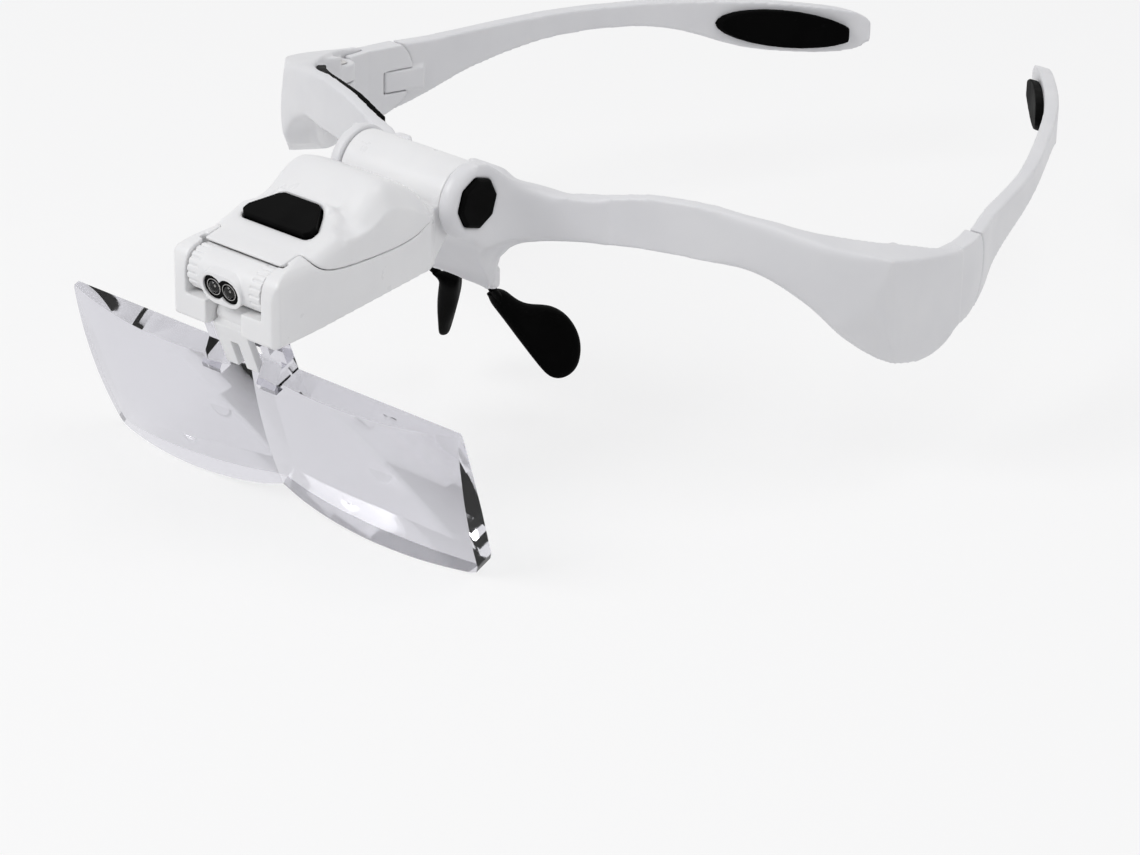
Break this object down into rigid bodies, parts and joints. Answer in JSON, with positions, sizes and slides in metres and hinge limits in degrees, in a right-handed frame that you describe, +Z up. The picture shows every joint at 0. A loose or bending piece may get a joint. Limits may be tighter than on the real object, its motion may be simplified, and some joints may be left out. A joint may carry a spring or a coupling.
{
  "type": "lighted head magnifier",
  "caption": "Head-worn magnifier on folding spectacle temples, with a flip-up lamp arm, swivelling lamp head, clip-on clear lens plate and soft nose and brow pads.",
  "frame": {"origin": "middle of the nose bridge, where the frame rests between the wearer's eyes", "axes": "+X to the wearer's left, the wearer looks along -Y, +Z up"},
  "size_m": [0.163, 0.2308, 0.067],
  "materials": {
    "frame_white": "light grey white moulded plastic, satin gloss",
    "housing_white": "white moulded plastic, glossy",
    "pad_black": "soft black rubber",
    "trim_black": "black moulded plastic",
    "steel": "plain",
    "switch_grey": "plain",
    "board_green": "plain",
    "cell_sleeve": "plain sleeve",
    "led_resin": "clear resin",
    "lens_acrylic": "clear polished acrylic"
  },
  "bodies": {
    "front": {"front_frame": "frame_white", "brow_pad_left": "pad_black", "brow_pad_right": "pad_black", "nose_pad_left": "pad_black", "nose_pad_right": "pad_black", "pivot_bolt": "steel", "pivot_cap_left": "trim_black", "pivot_cap_right": "trim_black", "hinge_pin_left": "steel", "hinge_pin_right": "steel"},
    "arm": {"arm_tray": "housing_white", "cell_left": "cell_sleeve", "cell_right": "cell_sleeve", "contact_front": "steel", "contact_rear": "steel", "bracket_pin": "steel"},
    "cover": {"battery_cover": "housing_white", "switch_body": "switch_grey", "switch_board": "board_green"},
    "button": {"power_button": "trim_black"},
    "lamp": {"led_head": "housing_white", "led_bezel": "trim_black", "led_left": "led_resin", "led_right": "led_resin", "led_board": "board_green"},
    "bracket": {"lens_bracket": "housing_white"},
    "lens": {"lens_plate": "lens_acrylic"},
    "root_left": {"temple_root_left": "frame_white"},
    "root_right": {"temple_root_right": "frame_white"},
    "temple_left": {"temple_arm_left": "frame_white", "ear_pad_left": "pad_black"},
    "temple_right": {"temple_arm_right": "frame_white", "ear_pad_right": "pad_black"}
  },
  "joints": [
    {"name": "arm_flip", "type": "hinge", "parent": "front", "child": "arm", "pos_m": [0, -0.0195, 0.022], "axis": [-1, 0, 0], "range_deg": [-5, 82]},
    {"name": "battery_cover_lift", "type": "slide", "parent": "arm", "child": "cover", "axis": [0, 0, 1], "range_m": [0, 0.02]},
    {"name": "power_button_press", "type": "slide", "parent": "cover", "child": "button", "axis": [0, 0.3173, -0.9483], "range_m": [0, 0.0008], "stiffness_N_per_m": 1500, "springref_m": -0.0003},
    {"name": "lamp_tilt", "type": "hinge", "parent": "arm", "child": "lamp", "pos_m": [0, -0.0666, 0.0168], "axis": [1, 0, 0], "range_deg": [-20, 20]},
    {"name": "lens_tilt", "type": "hinge", "parent": "arm", "child": "bracket", "pos_m": [0, -0.06654, 0.0093], "axis": [-1, 0, 0], "range_deg": [-10, 25]},
    {"name": "lens_pull", "type": "slide", "parent": "bracket", "child": "lens", "axis": [0, 0.3584, -0.9336], "range_m": [0, 0.015]},
    {"name": "temple_left_fold", "type": "hinge", "parent": "front", "child": "root_left", "pos_m": [0.0757, 0.04, 0], "axis": [0, 0, 1], "range_deg": [0, 76]},
    {"name": "temple_right_fold", "type": "hinge", "parent": "front", "child": "root_right", "pos_m": [-0.0757, 0.04, 0], "axis": [0, 0, -1], "range_deg": [0, 60]},
    {"name": "temple_left_pull", "type": "slide", "parent": "root_left", "child": "temple_left", "axis": [-0.342, 0.9397, 0], "range_m": [0, 0.01]},
    {"name": "temple_right_pull", "type": "slide", "parent": "root_right", "child": "temple_right", "axis": [0.342, 0.9397, 0], "range_m": [0, 0.01]}
  ]
}
